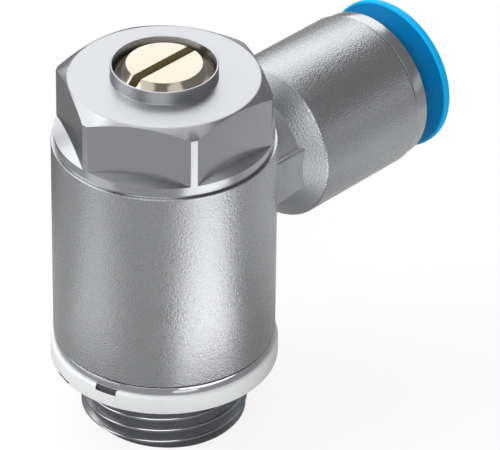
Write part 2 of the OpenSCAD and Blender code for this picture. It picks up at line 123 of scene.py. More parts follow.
class Bench:
    """Modelling by hand tools: primitives, edit-mode operators and applied modifiers."""

    @staticmethod
    def clear() -> None:
        """Deselects everything, the model's own nodes too."""
        if bpy.context.object and bpy.context.object.mode != "OBJECT":
            bpy.ops.object.mode_set(mode="OBJECT")
        bpy.ops.object.select_all(action="DESELECT")

    @staticmethod
    def pick(work: bpy.types.Object) -> None:
        """Makes one object the only one selected, and active."""
        Bench.clear()
        work.select_set(True)
        bpy.context.view_layer.objects.active = work

    @staticmethod
    def settle(name: str) -> bpy.types.Object:
        """Names the active object and moves its place into its mesh.

        Args:
            name: The object's new name.

        Returns:
            The object.
        """
        work = bpy.context.object
        work.name = name
        work.data.name = name
        bpy.ops.object.transform_apply(location=True, rotation=True, scale=True)
        return work

    @staticmethod
    def draw(name: str, points: Sequence[Vector], closed: bool = True) -> bpy.types.Object:
        """Draws a line of edges by extruding one vertex from point to point.

        Args:
            name: Name of the new object.
            points: The line's points, in metres.
            closed: Whether the last point joins the first.

        Returns:
            The object, left in object mode.
        """
        Bench.clear()
        bpy.ops.mesh.primitive_plane_add(size=MM, location=(0, 0, 0))
        work = Bench.settle(name)
        bpy.ops.object.mode_set(mode="EDIT")
        bpy.ops.mesh.select_all(action="SELECT")
        bpy.ops.mesh.merge(type="CENTER")
        bpy.ops.transform.translate(value=points[0])
        for before, here in zip(points, points[1:]):
            bpy.ops.mesh.extrude_vertices_move(TRANSFORM_OT_translate={"value": here - before})
        if closed:
            mesh = bmesh.from_edit_mesh(work.data)
            for vertex in mesh.verts:
                vertex.select_set(len(vertex.link_edges) < 2)
            bpy.ops.mesh.edge_face_add()
        bpy.ops.object.mode_set(mode="OBJECT")
        return work

    @staticmethod
    def turned(
        name: str, profile: Sequence[Point], axis: Turn = Turn.BOLT, steps: int = LAYOUT.steps
    ) -> bpy.types.Object:
        """Revolves a profile all the way round, open only where it ends on the axis.

        Args:
            name: Name of the new object.
            profile: Radius and station of each point, in millimetres.
            axis: The bolt's axis or the arm's.
            steps: Segments round the axis.

        Returns:
            The closed solid.
        """
        if axis is Turn.BOLT:
            points = [Vector((r, 0, z)) * MM for r, z in profile]
            centre, way = (0, 0, 0), (0, 0, 1)
        else:
            points = [Vector((x, 0, LAYOUT.arm_z + r)) * MM for r, x in profile]
            centre, way = (0, 0, LAYOUT.arm_z * MM), (1, 0, 0)
        work = Bench.draw(name, points, closed=profile[0][0] > 0 or profile[-1][0] > 0)
        bpy.ops.object.mode_set(mode="EDIT")
        bpy.ops.mesh.select_all(action="SELECT")
        bpy.ops.mesh.spin(steps=steps, angle=math.tau, center=centre, axis=way)
        Bench.mend(work)
        return work

    @staticmethod
    def mend(work: bpy.types.Object) -> None:
        """Merges doubled points of a shell and turns its faces outwards."""
        Bench.pick(work)
        bpy.ops.object.mode_set(mode="EDIT")
        bpy.ops.mesh.select_all(action="SELECT")
        bpy.ops.mesh.remove_doubles(threshold=1e-6)
        bpy.ops.mesh.dissolve_degenerate(threshold=1e-7)
        bpy.ops.mesh.select_all(action="SELECT")
        bpy.ops.mesh.normals_make_consistent(inside=False)
        bpy.ops.object.mode_set(mode="OBJECT")

    @staticmethod
    def block(
        name: str, low: Sequence[float], high: Sequence[float], turn: float = 0.0
    ) -> bpy.types.Object:
        """Adds a block between two corners, then turns it about the bolt's axis.

        Args:
            name: Name of the new object.
            low: Lowest corner, in millimetres.
            high: Highest corner, in millimetres.
            turn: Turn about +Z, in degrees.

        Returns:
            The block.
        """
        Bench.clear()
        size = [(b - a) * MM for a, b in zip(low, high)]
        middle = Vector([(a + b) / 2 * MM for a, b in zip(low, high)])
        spin = Matrix.Rotation(math.radians(turn), 4, "Z")
        bpy.ops.mesh.primitive_cube_add(
            size=1, location=spin @ middle, rotation=(0, 0, math.radians(turn)), scale=size
        )
        return Bench.settle(name)

    @staticmethod
    def rod(
        name: str, radius: float, start: Vector, end: Vector, sides: int = 96
    ) -> bpy.types.Object:
        """Adds a rod between two points.

        Args:
            name: Name of the new object.
            radius: Radius in millimetres.
            start: First end, in millimetres.
            end: Other end, in millimetres.
            sides: Sides of the rod.

        Returns:
            The rod.
        """
        Bench.clear()
        way = end - start
        bpy.ops.mesh.primitive_cylinder_add(
            vertices=sides,
            radius=radius * MM,
            depth=way.length * MM,
            location=(start + end) / 2 * MM,
            rotation=way.to_track_quat("Z", "Y").to_euler(),
        )
        return Bench.settle(name)

    @staticmethod
    def bevel_edges(
        work: bpy.types.Object,
        chosen: Callable[[bmesh.types.BMEdge], bool],
        width: float,
        segments: int = 4,
    ) -> None:
        """Bevels the edges that a test picks.

        Args:
            work: The object.
            chosen: Says of an edge whether it is bevelled.
            width: Width of the bevel, in millimetres.
            segments: Segments of the bevel.
        """
        Bench.pick(work)
        bpy.ops.object.mode_set(mode="EDIT")
        bpy.ops.mesh.select_all(action="DESELECT")
        bpy.ops.mesh.select_mode(type="EDGE")
        mesh = bmesh.from_edit_mesh(work.data)
        for edge in mesh.edges:
            edge.select_set(chosen(edge))
        bpy.ops.mesh.bevel(offset=width * MM, segments=segments)
        bpy.ops.mesh.select_mode(type="VERT")
        bpy.ops.object.mode_set(mode="OBJECT")

    @staticmethod
    def modify(work: bpy.types.Object, kind: str, **settings: object) -> None:
        """Adds a modifier, sets it and applies it.

        Args:
            work: The object.
            kind: Type of the modifier.
            **settings: Its settings by name.
        """
        Bench.pick(work)
        bpy.ops.object.modifier_add(type=kind)
        modifier = work.modifiers[-1]
        for name, value in settings.items():
            setattr(modifier, name, value)
        bpy.ops.object.modifier_apply(modifier=modifier.name)

    @staticmethod
    def combine(
        work: bpy.types.Object, tools: Iterable[bpy.types.Object], operation: str
    ) -> bpy.types.Object:
        """Cuts, joins or crosses a solid with others, which are used up.

        Args:
            work: The solid that stays.
            tools: The others, one after another.
            operation: DIFFERENCE, UNION or INTERSECT.

        Returns:
            The solid.
        """
        for tool in tools:
            Bench.modify(work, "BOOLEAN", operation=operation, solver="EXACT", object=tool)
            bpy.data.objects.remove(tool)
        return work

    @staticmethod
    def thread(
        name: str,
        crest: float,
        root: float,
        pitch: float,
        low: float,
        high: float,
        phase: float,
        steps: int = 96,
        flat: float = 0.08,
    ) -> bpy.types.Object:
        """Winds the ridge of a right-hand screw thread.

        Args:
            name: Name of the new object.
            crest: Radius at the crest, in millimetres.
            root: Radius at the root.
            pitch: Rise of one turn.
            low: Height under which the ridge starts.
            high: Height over which it ends.
            phase: Height of a crest on the +X side.
            steps: Segments of one turn.
            flat: Half the width of the crest, as a share of the pitch.

        Returns:
            The ridge, a closed solid whose foot lies inside the core.
        """
        depth = crest - root
        tip = flat * pitch
        foot = tip + depth * math.tan(math.radians(27.5))
        bury = 0.1
        flank = flat * 0.75
        start = phase - pitch * math.ceil((phase - low) / pitch + 1)
        turns = math.ceil((high - start) / pitch + 1)
        profile = [
            (root - bury, -foot),
            (root, -foot),
            (crest - flank, -tip - flank / 2),
            (crest, -tip / 2),
            (crest, tip / 2),
            (crest - flank, tip + flank / 2),
            (root, foot),
            (root - bury, foot),
        ]
        ridge = Bench.draw(name, [Vector((r, 0, start + z)) * MM for r, z in profile])
        Bench.modify(
            ridge,
            "SCREW",
            axis="Z",
            angle=math.tau,
            screw_offset=pitch * MM,
            iterations=turns,
            steps=steps,
            render_steps=steps,
        )
        bpy.ops.object.mode_set(mode="EDIT")
        bpy.ops.mesh.select_all(action="SELECT")
        bpy.ops.mesh.fill_holes(sides=0)
        Bench.mend(ridge)
        return ridge

    @staticmethod
    def smooth(work: bpy.types.Object, degrees: float = 20.0) -> None:
        """Shades an object smooth, with edges over an angle kept sharp."""
        Bench.pick(work)
        bpy.ops.object.shade_smooth_by_angle(angle=math.radians(degrees))


# Finishes


class Signal:
    """A value on a shader socket, on which Python sums build Math nodes."""

    def __init__(self, graph: "Graph", socket: bpy.types.NodeSocket) -> None:
        """Keeps the graph and the socket that the value comes from."""
        self.graph = graph
        self.socket = socket

    def _math(self, operation: str, *values: "Signal | float") -> "Signal":
        """Adds one Math node over the values and returns its result."""
        node = self.graph.node("ShaderNodeMath", {"operation": operation}, dict(enumerate(values)))
        return Signal(self.graph, node.outputs[0])

    def __add__(self, other: "Signal | float") -> "Signal":
        """Sum."""
        return self._math("ADD", self, other)

    __radd__ = __add__

    def __mul__(self, other: "Signal | float") -> "Signal":
        """Product."""
        return self._math("MULTIPLY", self, other)

    __rmul__ = __mul__

    def __sub__(self, other: "Signal | float") -> "Signal":
        """Difference."""
        return self._math("SUBTRACT", self, other)

    def __rsub__(self, other: float) -> "Signal":
        """Difference from a number."""
        return self._math("SUBTRACT", other, self)

    def __pow__(self, other: float) -> "Signal":
        """Power."""
        return self._math("POWER", self, other)

    def __gt__(self, other: "Signal | float") -> "Signal":
        """1 where the value is over the other, else 0."""
        return self._math("GREATER_THAN", self, other)

    def __lt__(self, other: "Signal | float") -> "Signal":
        """1 where the value is under the other, else 0."""
        return self._math("LESS_THAN", self, other)

    def root(self) -> "Signal":
        """Square root."""
        return self._math("SQRT", self)

    def between(self, low: float, high: float) -> "Signal":
        """A smooth rise from 0 at the low value to 1 at the high one."""
        node = self.graph.node(
            "ShaderNodeMapRange",
            {"interpolation_type": "SMOOTHSTEP"},
            {"Value": self, "From Min": low, "From Max": high},
        )
        return Signal(self.graph, node.outputs[0])


class Graph:
    """The node graph of one material or of the world."""

    def __init__(self, owner: "bpy.types.Material | bpy.types.World") -> None:
        """Empties the owner's nodes."""
        owner.use_nodes = True
        self.tree = owner.node_tree
        self.tree.nodes.clear()

    def node(
        self, kind: str, settings: dict[str, object], sockets: dict[object, object]
    ) -> bpy.types.Node:
        """Adds a node, sets it, then gives its sockets their values or links.

        Args:
            kind: Type of the node.
            settings: Its settings by name, which are set first.
            sockets: Values, signals or sockets by input name or number.

        Returns:
            The node.
        """
        made = self.tree.nodes.new(kind)
        for name, value in settings.items():
            setattr(made, name, value)
        for key, value in sockets.items():
            target = made.inputs[key]
            if isinstance(value, Signal):
                self.tree.links.new(value.socket, target)
            elif isinstance(value, bpy.types.NodeSocket):
                self.tree.links.new(value, target)
            else:
                target.default_value = value
        return made

    def place(self) -> tuple[Signal, Signal, Signal]:
        """X, Y and Z of the shaded point in millimetres, on Object coordinates."""
        where = self.node("ShaderNodeTexCoord", {}, {}).outputs["Object"]
        scaled = self.node(
            "ShaderNodeVectorMath", {"operation": "SCALE"}, {0: where, "Scale": 1 / MM}
        )
        parts = self.node("ShaderNodeSeparateXYZ", {}, {0: scaled.outputs[0]})
        return tuple(Signal(self, out) for out in parts.outputs)

    def vector(self, x: Signal | float, y: Signal | float, z: Signal | float) -> bpy.types.NodeSocket:
        """Joins three numbers in a vector."""
        return self.node("ShaderNodeCombineXYZ", {}, {0: x, 1: y, 2: z}).outputs[0]

    def noise(
        self,
        where: bpy.types.NodeSocket,
        per_mm: float,
        detail: float = 2.0,
        roughness: float = 0.5,
    ) -> Signal:
        """Cloudy noise between 0 and 1.

        Args:
            where: Place in millimetres.
            per_mm: Grains to a millimetre.
            detail: Finer octaves.
            roughness: Weight of the finer octaves.

        Returns:
            The noise.
        """
        made = self.node(
            "ShaderNodeTexNoise",
            {},
            {"Vector": where, "Scale": per_mm, "Detail": detail, "Roughness": roughness},
        )
        return Signal(self, made.outputs["Fac"])

    def blend(self, factor: Signal, first: Sequence[float], second: Sequence[float]) -> object:
        """Mixes two colours, or sockets of colour, by a factor."""
        made = self.node(
            "ShaderNodeMix", {"data_type": "RGBA"}, {0: factor, 6: first, 7: second}
        )
        return made.outputs[2]

    def bump(
        self, height: Signal, depth: float, strength: Signal | float = 1.0, edge: float = 0.0
    ) -> bpy.types.NodeSocket:
        """Turns a height into a normal.

        Args:
            height: Height between 0 and 1.
            depth: What a height of 1 stands for, in millimetres.
            strength: Share of the effect.
            edge: Softening of edges, in millimetres, or 0 for none.

        Returns:
            The normal.
        """
        sockets: dict[object, object] = {
            "Height": height,
            "Distance": depth * MM,
            "Strength": strength,
        }
        if edge:
            soft = self.node("ShaderNodeBevel", {"samples": 6}, {"Radius": edge * MM})
            sockets["Normal"] = soft.outputs[0]
        return self.node("ShaderNodeBump", {}, sockets).outputs[0]

    def surface(self, **sockets: object) -> None:
        """Ends the graph in a surface shader.

        Args:
            **sockets: Values by input name, with underscores for spaces.
        """
        named = {key.replace("_", " "): value for key, value in sockets.items()}
        shader = self.node("ShaderNodeBsdfPrincipled", {}, named)
        self.node("ShaderNodeOutputMaterial", {}, {"Surface": shader.outputs[0]})


def rgb(red: int, green: int, blue: int) -> tuple[float, float, float, float]:
    """Colour for a shader from the numbers 0 to 255 of a screen colour."""

    def linear(value: int) -> float:
        """Linear light of one number."""
        share = value / 255
        return share / 12.92 if share <= 0.04045 else ((share + 0.055) / 1.055) ** 2.4

    return linear(red), linear(green), linear(blue), 1.0


@dataclass(frozen=True)
class Finish:
    """Base of every finish: a name and a way to make its material."""

    name: str

    def material(self) -> bpy.types.Material:
        """Makes the material, or finds it where it was made before."""
        known = bpy.data.materials.get(self.name)
        if known:
            return known
        made = bpy.data.materials.new(self.name)
        self.compose(Graph(made))
        return made

    def compose(self, graph: Graph) -> None:
        """Builds the nodes of the finish."""
        raise NotImplementedError

    def coat(self, piece: bpy.types.Object) -> None:
        """Puts the finish on every slot of a piece."""
        if not piece.material_slots:
            piece.data.materials.append(None)
        for slot in piece.material_slots:
            slot.material = self.material()


@dataclass(frozen=True)
class TurnedMetal(Finish):
    """Metal with the fine rings of a lathe and slight changes of tone."""

    tone: tuple[float, float, float, float]
    shine: float = 0.26
    ring_depth: float = 0.004
    rings_per_mm: float = 9.0
    edge: float = 0.04
    worn: float = 0.06
    faced_from: float = 100.0
    faced_shine: float = 0.0
    metal: float = 1.0

    def compose(self, graph: Graph) -> None:
        """Rings that follow radius and height, and soft blotches in tone and shine."""
        x, y, z = graph.place()
        radius = (x * x + y * y).root()
        rings = graph.noise(graph.vector(radius, z * 0.85, 0.0), self.rings_per_mm, 3.0, 0.6)
        cloud = graph.noise(graph.vector(x, y, z), 0.45, 3.0, 0.55)
        darker = tuple(c * (1 - self.worn * 2) for c in self.tone[:3]) + (1.0,)
        tone = graph.blend(cloud * 0.6 + rings * 0.4, darker, self.tone)
        shine = (z > self.faced_from) * self.faced_shine + self.shine
        graph.surface(
            Base_Color=tone,
            Metallic=self.metal,
            Roughness=shine + (cloud - 0.5) * 0.08 + (rings - 0.5) * 0.06,
            Normal=graph.bump(rings, self.ring_depth, 0.6, self.edge),
        )


@dataclass(frozen=True)
class BlastedMetal(Finish):
    """Die-cast metal with a fine blasted grain, and a machined band at the arm's mouth."""

    tone: tuple[float, float, float, float]
    grains_per_mm: float = 5.4
    grain_depth: float = 0.065
    band_from: float = 28.2
    ends: Point = (3.12, 24.66)
    end_r: float = 11.3
    neck_from: Point = (10.4, 12.6)
    neck_to: float = 14.7
    neck_r: float = 11.2
    shine: float = 0.28
    edge: float = 0.05

    def compose(self, graph: Graph) -> None:
        """Grain on the blasted skin, a duller neck painted lighter as painted light, and fine rings
        on the machined band.
        """
        x, y, z = graph.place()
        where = graph.vector(x, y, z)
        radius = (x * x + y * y).root()
        machined = x > self.band_from
        grain = graph.noise(where, self.grains_per_mm, 1.0, 0.5)
        fine = graph.noise(where, self.grains_per_mm * 2.1, 1.0, 0.5)
        cloud = graph.noise(where, 0.35, 2.0, 0.5)
        rings = graph.noise(graph.vector(x, 0.0, 0.0), 12.0, 2.0, 0.6)
        skin = grain * 0.7 + fine * 0.3
        eased = z.between(self.ends[0] - 0.1, self.ends[0]) * (
            1 - z.between(self.ends[1], self.ends[1] + 0.1) * (radius < self.end_r)
        )
        height = (skin - 0.5) * (1 - machined) * eased + (rings - 0.5) * machined * 0.08
        darker = tuple(c * 0.8 for c in self.tone[:3]) + (1.0,)
        speckle = ((grain - 0.5) * 0.5 + 0.3) * (1 - machined) + machined * 0.5
        tone = graph.blend(speckle + cloud * 0.4, darker, self.tone)
        # Painted light: the neck region is painted a lighter tone than the rest of the skin; its
        # added roughness makes it duller.
        neck = x.between(*self.neck_from) * (x < self.neck_to) * (radius > self.neck_r)
        lighter = tuple(min(1.0, c * 1.14) for c in self.tone[:3]) + (1.0,)
        tone = graph.blend(neck, tone, lighter)
        rough = self.shine + neck * 0.17 + (grain - 0.5) * 0.12 + (cloud - 0.5) * 0.06
        graph.surface(
            Base_Color=tone,
            Metallic=1.0,
            Roughness=rough - machined * 0.05,
            Normal=graph.bump(height, self.grain_depth, 0.85, self.edge),
        )


@dataclass(frozen=True)
class MouldedPlastic(Finish):
    """Moulded plastic with a faint skin texture and, where asked, a soft inner glow."""

    tone: tuple[float, float, float, float]
    shine: float = 0.35
    skin_depth: float = 0.004
    skin_per_mm: float = 5.0
    gloss: float = 0.5
    edge: float = 0.05

    def shade(self, graph: Graph, x: Signal, cloud: Signal) -> object:
        """Colour of the plastic at a station along the arm, with a slight change of tone."""
        darker = tuple(c * 0.9 for c in self.tone[:3]) + (1.0,)
        return graph.blend(cloud, darker, self.tone)

    def compose(self, graph: Graph) -> None:
        """Fine skin texture and a slight change of tone."""
        x, y, z = graph.place()
        where = graph.vector(x, y, z)
        skin = graph.noise(where, self.skin_per_mm, 3.0, 0.6)
        cloud = graph.noise(where, 0.4, 2.0, 0.5)
        graph.surface(
            Base_Color=self.shade(graph, x, cloud),
            Roughness=self.shine + (skin - 0.5) * 0.1,
            Specular_IOR_Level=self.gloss,
            Normal=graph.bump(skin, self.skin_depth, 0.6, self.edge),
        )


@dataclass(frozen=True)
class RingPlastic(MouldedPlastic):
    """Clear-tinted moulded plastic, with painted light: the thin rim is painted a lighter, bluer tone
    than the body.
    """

    rim_painted_light_tone: tuple[float, float, float, float] = (0.02, 0.28, 0.56, 1.0)
    rim_from: float = 32.2

    def shade(self, graph: Graph, x: Signal, cloud: Signal) -> object:
        """Body colour, then the rim's painted light from a station along the arm."""
        body = super().shade(graph, x, cloud)
        return graph.blend(x.between(self.rim_from, self.rim_from + 0.2), body, self.rim_painted_light_tone)


@dataclass(frozen=True)
class Rubber(Finish):
    """Black seal rubber with a light film of grease."""

    tone: tuple[float, float, float, float]
    shine: float = 0.42

    def compose(self, graph: Graph) -> None:
        """Fine pores and patches of film."""
        where = graph.vector(*graph.place())
        pores = graph.noise(where, 7.0, 3.0, 0.6)
        film = graph.noise(where, 0.8, 2.0, 0.5)
        lighter = tuple(c * 1.5 for c in self.tone[:3]) + (1.0,)
        graph.surface(
            Base_Color=graph.blend(film, self.tone, lighter),
            Roughness=self.shine + (film - 0.5) * 0.2,
            Normal=graph.bump(pores, 0.006, 0.6),
        )


@dataclass(frozen=True)
class Palette:
    """The finishes of the valve."""

    bolt: TurnedMetal = TurnedMetal(
        "bolt_satin_metal",
        rgb(177, 178, 181),
        shine=0.22,
        edge=0.0,
        faced_from=31.98,
        faced_shine=0.13,
    )
    washer: TurnedMetal = TurnedMetal("washer_bright_metal", rgb(186, 187, 190), shine=0.1)
    brass: TurnedMetal = TurnedMetal(
        "turned_brass", rgb(190, 181, 168), shine=0.13, rings_per_mm=7.0, ring_depth=0.003
    )
    slot: TurnedMetal = TurnedMetal(
        "milled_brass", rgb(158, 142, 106), shine=0.6, edge=0.0, metal=0.4
    )
    barrel: BlastedMetal = BlastedMetal("barrel_blasted_metal", rgb(179, 180, 182))
    sleeve: TurnedMetal = TurnedMetal("turned_sleeve_metal", rgb(184, 184, 186), shine=0.3)
    spring: TurnedMetal = TurnedMetal("bright_spring_steel", rgb(170, 172, 176), shine=0.2, edge=0.0)
    white: MouldedPlastic = MouldedPlastic("ring_white_plastic", rgb(238, 239, 240), shine=0.42)
    # The blue ring's rim tone is painted light.
    blue: RingPlastic = RingPlastic(
        "release_blue_plastic", rgb(0, 114, 172), shine=0.4, gloss=0.06, rim_painted_light_tone=rgb(14, 188, 254)
    )
    dark: MouldedPlastic = MouldedPlastic("spacer_dark_plastic", rgb(52, 54, 58), shine=0.45)
    # Dark grey painted shade for the inside of the seal ring's notches.
    notch: MouldedPlastic = MouldedPlastic("ring_notch_painted_shade", rgb(78, 79, 82), shine=0.5)
    rubber: Rubber = Rubber("black_seal_rubber", rgb(30, 30, 31))


FINISH = Palette()


def report(piece: bpy.types.Object, node: str) -> None:
    """Logs a piece's triangles and how far its box lies from its node's, in millimetres.

    Args:
        piece: The finished piece.
        node: The node that it stands for.
    """
    low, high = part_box(node)
    corners = [Vector(corner) for corner in piece.bound_box]
    mine_low = Vector([min(c[i] for c in corners) for i in range(3)])
    mine_high = Vector([max(c[i] for c in corners) for i in range(3)])
    off = max(*(abs(v) for v in mine_low - low), *(abs(v) for v in mine_high - high)) / MM
    triangles = sum(len(face.vertices) - 2 for face in piece.data.polygons)
    LOG.info("%s: %d triangles, box within %.2f mm of its node", piece.name, triangles, off)


def seat(piece: bpy.types.Object, node: str, body: str, finish: Finish) -> None:
    """Dresses a finished piece and puts it in its node's place.

    Args:
        piece: The finished piece.
        node: The node that it replaces.
        body: The body that it rides on.
        finish: Its finish.
    """
    Bench.smooth(piece)
    finish.coat(piece)
    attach(piece, body)
    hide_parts(node)
    report(piece, node)


# Pieces of the valve


@dataclass
class HollowBolt:
    """Banjo bolt: pipe thread, lands with O-ring grooves, throttle seat and hexagon head."""

    thread_r: float = 8.331
    root_r: float = 7.475
    pitch: float = 1.337
    crest_z: float = -1.03
    bottom: float = -6.7
    thread_top: float = -0.2
    chamfer: float = 0.3
    run_out: Point = (-0.55, -0.15)
    relief_r: float = 8.151
    relief_top: float = 1.3
    land_r: float = 8.45
    waist_r: float = 6.2
    groove_r: float = 6.79
    lower_groove: Point = (3.845, 5.645)
    upper_groove: Point = (22.22, 24.02)
    check_groove: Point = (10.985, 13.515)
    check_r: float = 5.7
    lower_land: float = 6.57
    upper_land: float = 21.27
    head_r: float = 10.78
    flange_z: float = 24.94
    hex_z: float = 26.07
    apothem: float = 9.5
    band_rise: float = 0.5
    corner_z: float = 31.22
    top_z: float = 32.02
    top_r: float = 9.31
    top_round: float = 0.6
    collar_r: float = 5.26
    collar_z: float = 33.42
    collar_wall: float = 0.2
    collar_fillet: float = 0.04
    head_bore_r: float = 4.85
    head_bore_z: float = 24.12
    stem_bore_r: float = 3.25
    chamber_r: float = 3.6
    chamber_z: float = 17.9
    seat_r: float = 2.5
    seat_z: float = 13.5
    seat_foot: float = 12.5
    port_r: float = 4.75
    hole_r: float = 1.7
    hole_rows: tuple[Point, ...] = ((8.9, 45.0), (15.7, 0.0))

    def profile(self) -> list[Point]:
        """Closed section of the turned blank, up the outside and down the passage."""
        edge = 0.08
        outside: list[Corner] = [
            (self.root_r, self.bottom, edge),
            (self.root_r, self.run_out[0], 0.15),
            (self.relief_r, self.run_out[1], 0),
            (self.relief_r, self.relief_top, 0),
            (self.land_r, self.relief_top + 0.1, 0),
            *self.groove(self.land_r, self.groove_r, *self.lower_groove),
            (self.land_r, self.lower_land, edge),
            (self.waist_r, self.lower_land, edge),
            *self.groove(self.waist_r, self.check_r, *self.check_groove),
            (self.waist_r, self.upper_land, edge),
            (self.land_r, self.upper_land, edge),
            *self.groove(self.land_r, self.groove_r, *self.upper_groove),
            (self.land_r, self.flange_z, 0.1),
            (self.head_r, self.flange_z, 0.03),
            (self.head_r, self.corner_z, 0.05),
            (self.top_r, self.top_z, self.top_round),
            (self.collar_r, self.top_z, self.collar_fillet),
            (self.collar_r, self.collar_z, 0.07),
        ]
        inside: list[Corner] = [
            (self.collar_r - self.collar_wall, self.collar_z, 0.07),
            (self.collar_r - self.collar_wall, self.top_z + 0.2, 0),
            (self.head_bore_r, self.top_z, 0),
            (self.head_bore_r, self.head_bore_z, 0),
            (self.stem_bore_r, self.head_bore_z, edge),
            (self.stem_bore_r, self.chamber_z, 0),
            (self.chamber_r, self.chamber_z, 0),
            (self.chamber_r, self.seat_z, 0),
            (self.seat_r, self.seat_z, 0.05),
            (self.seat_r, self.seat_foot, 0),
            (self.port_r, self.seat_foot, 0),
            (self.port_r, self.bottom, 0.2),
        ]
        return rounded(outside + inside)

    @staticmethod
    def groove(outer: float, floor: float, low: float, high: float) -> list[Corner]:
        """Four corners of a square groove, from its lower edge up."""
        return [(outer, low, 0.05), (floor, low, 0.1), (floor, high, 0.1), (outer, high, 0.05)]

    def flat(self, turn: float) -> bpy.types.Object:
        """Cutter of one flat, which runs out on the band's coned top.

        Args:
            turn: Direction of the flat, in degrees.

        Returns:
            The cutter.
        """
        half = self.apothem * math.tan(math.radians(30)) - 0.12
        low = (self.apothem, -half, self.hex_z - 0.4)
        high = (self.head_r + 0.6, half, self.top_z + 0.5)
        cutter = Bench.block("flat_cutter", low, high, turn)
        slope = self.band_rise / (self.head_r - self.apothem)
        foot_r, peak_r = self.head_r + 0.9, self.apothem - 0.5
        cone = [
            (0.0, self.hex_z - 0.9),
            (foot_r, self.hex_z - 0.9),
            (foot_r, self.hex_z - 0.9 * slope),
            (peak_r, self.hex_z + (self.head_r - peak_r) * slope),
            (0.0, self.hex_z + (self.head_r - peak_r) * slope),
        ]
        return Bench.combine(cutter, [Bench.turned("band_cone", cone)], "DIFFERENCE")

    def ridge(self) -> bpy.types.Object:
        """The thread's ridge, with its end chamfered like the blank's."""
        ridge = Bench.thread(
            "bolt_thread",
            self.thread_r,
            self.root_r,
            self.pitch,
            self.bottom,
            self.thread_top,
            self.crest_z,
            flat=0.055,
        )
        low = self.bottom + 0.13
        top = low + self.chamfer
        lathe = [
            (self.port_r + 1.0, low),
            (self.thread_r - self.chamfer, low),
            (self.thread_r, top),
            (self.thread_r + 0.01, top + 0.05),
            (self.thread_r + 0.01, self.thread_top),
            (self.port_r + 1.0, self.thread_top),
        ]
        return Bench.combine(ridge, [Bench.turned("thread_bounds", lathe)], "INTERSECT")

    def cross_holes(self) -> list[bpy.types.Object]:
        """Rods that drill the two rows of cross holes."""
        rods = []
        for height, turn in self.hole_rows:
            for quarter in range(2):
                angle = math.radians(turn + 90 * quarter)
                way = Vector((math.cos(angle), math.sin(angle), 0)) * (self.waist_r + 0.6)
                middle = Vector((0, 0, height))
                rods.append(Bench.rod("hole", self.hole_r, middle - way, middle + way, 48))
        return rods

    def build(self) -> bpy.types.Object:
        """Turns the blank, mills the flats, drills it and adds the thread."""
        bolt = Bench.turned("hollow_bolt_body", self.profile())
        Bench.combine(bolt, [self.flat(30.0 + 60.0 * side) for side in range(6)], "DIFFERENCE")
        Bench.combine(bolt, self.cross_holes(), "DIFFERENCE")
        return Bench.combine(bolt, [self.ridge()], "UNION")

    def dress(self) -> None:
        """Builds the bolt and puts it in its node's place."""
        seat(self.build(), "hollow_bolt", "bolt", FINISH.bolt)


@dataclass
class RegulatingScrew:
    """Slotted brass needle screw in the head, drawn fully open."""

    top_r: float = 3.72
    top_z: float = 33.52
    head_r: float = 4.8
    cone_z: float = 32.52
    head_z: float = 27.72
    thread_root: float = 4.35
    pitch: float = 0.75
    stem_r: float = 3.2
    groove: Point = (21.7, 23.3)
    groove_r: float = 1.76
    stem_z: float = 19.3
    needle_r: float = 2.45
    needle_z: float = 17.0
    tip_r: float = 1.3
    tip_z: float = 13.9
    slot_w: float = 1.05
    slot_d: float = 1.7

    def profile(self) -> list[Point]:
        """Closed half section of the screw, from the tip's centre up."""
        relief_z = self.cone_z - 0.5
        corners: list[Corner] = [
            (0.0, self.tip_z, 0),
            (self.tip_r, self.tip_z, 0.15),
            (self.needle_r, self.needle_z, 0),
            (self.stem_r, self.stem_z, 0.1),
            *HollowBolt.groove(self.stem_r, self.groove_r, *self.groove),
            (self.stem_r, self.head_z, 0.1),
            (self.thread_root, self.head_z, 0.1),
            (self.thread_root, relief_z, 0.1),
            (self.head_r, relief_z, 0.08),
            (self.head_r, self.cone_z, 0.06),
            (self.top_r, self.top_z, 0.06),
            (0.0, self.top_z, 0),
        ]
        return rounded(corners)

    def thread(self) -> bpy.types.Object:
        """Fine thread of the head."""
        low, high = self.head_z + 0.15, self.cone_z - 0.65
        crest = self.head_r - 0.03
        ridge = Bench.thread(
            "screw_thread", crest, self.thread_root, self.pitch, low, high, low, 72
        )
        bounds = [
            (self.stem_r, low),
            (crest - 0.35, low),
            (crest + 0.01, low + 0.36),
            (crest + 0.01, high),
            (self.stem_r, high),
        ]
        return Bench.combine(ridge, [Bench.turned("screw_bounds", bounds)], "INTERSECT")

    def slot(self) -> bpy.types.Object:
        """Cutter of the screwdriver slot, with its floor's edges eased."""
        half = self.slot_w / 2
        reach = self.head_r + 0.5
        low = (-reach, -half, self.top_z - self.slot_d)
        cutter = Bench.block("slot_cutter", low, (reach, half, self.top_z + 0.5))

        def floor(edge: bmesh.types.BMEdge) -> bool:
            """Whether an edge runs along the slot's floor."""
            return all(abs(v.co.z - low[2] * MM) < 1e-6 for v in edge.verts) and (
                abs(edge.verts[0].co.x - edge.verts[1].co.x) > MM
            )

        Bench.bevel_edges(cutter, floor, 0.12, 3)
        return cutter

    def build(self) -> bpy.types.Object:
        """Turns the screw, adds the thread and cuts the slot."""
        screw = Bench.turned("regulating_screw_body", self.profile(), steps=128)
        Bench.combine(screw, [self.thread()], "UNION")
        return Bench.combine(screw, [self.slot()], "DIFFERENCE")

    def in_slot(self, place: Vector) -> bool:
        """Whether a place on the screw, in metres, lies inside the slot."""
        spot = place / MM
        rise = spot.z - (self.top_z - self.slot_d)
        return abs(spot.y) < self.slot_w / 2 + 0.01 and -0.01 < rise < self.slot_d - 0.02

    def dress(self) -> None:
        """Builds the screw, puts it in its node's place and gives its slot a milled finish."""
        screw = self.build()
        seat(screw, "regulating_screw", "screw", FINISH.brass)
        screw.data.materials.append(FINISH.slot.material())
        for face in screw.data.polygons:
            face.material_index = int(self.in_slot(face.center))


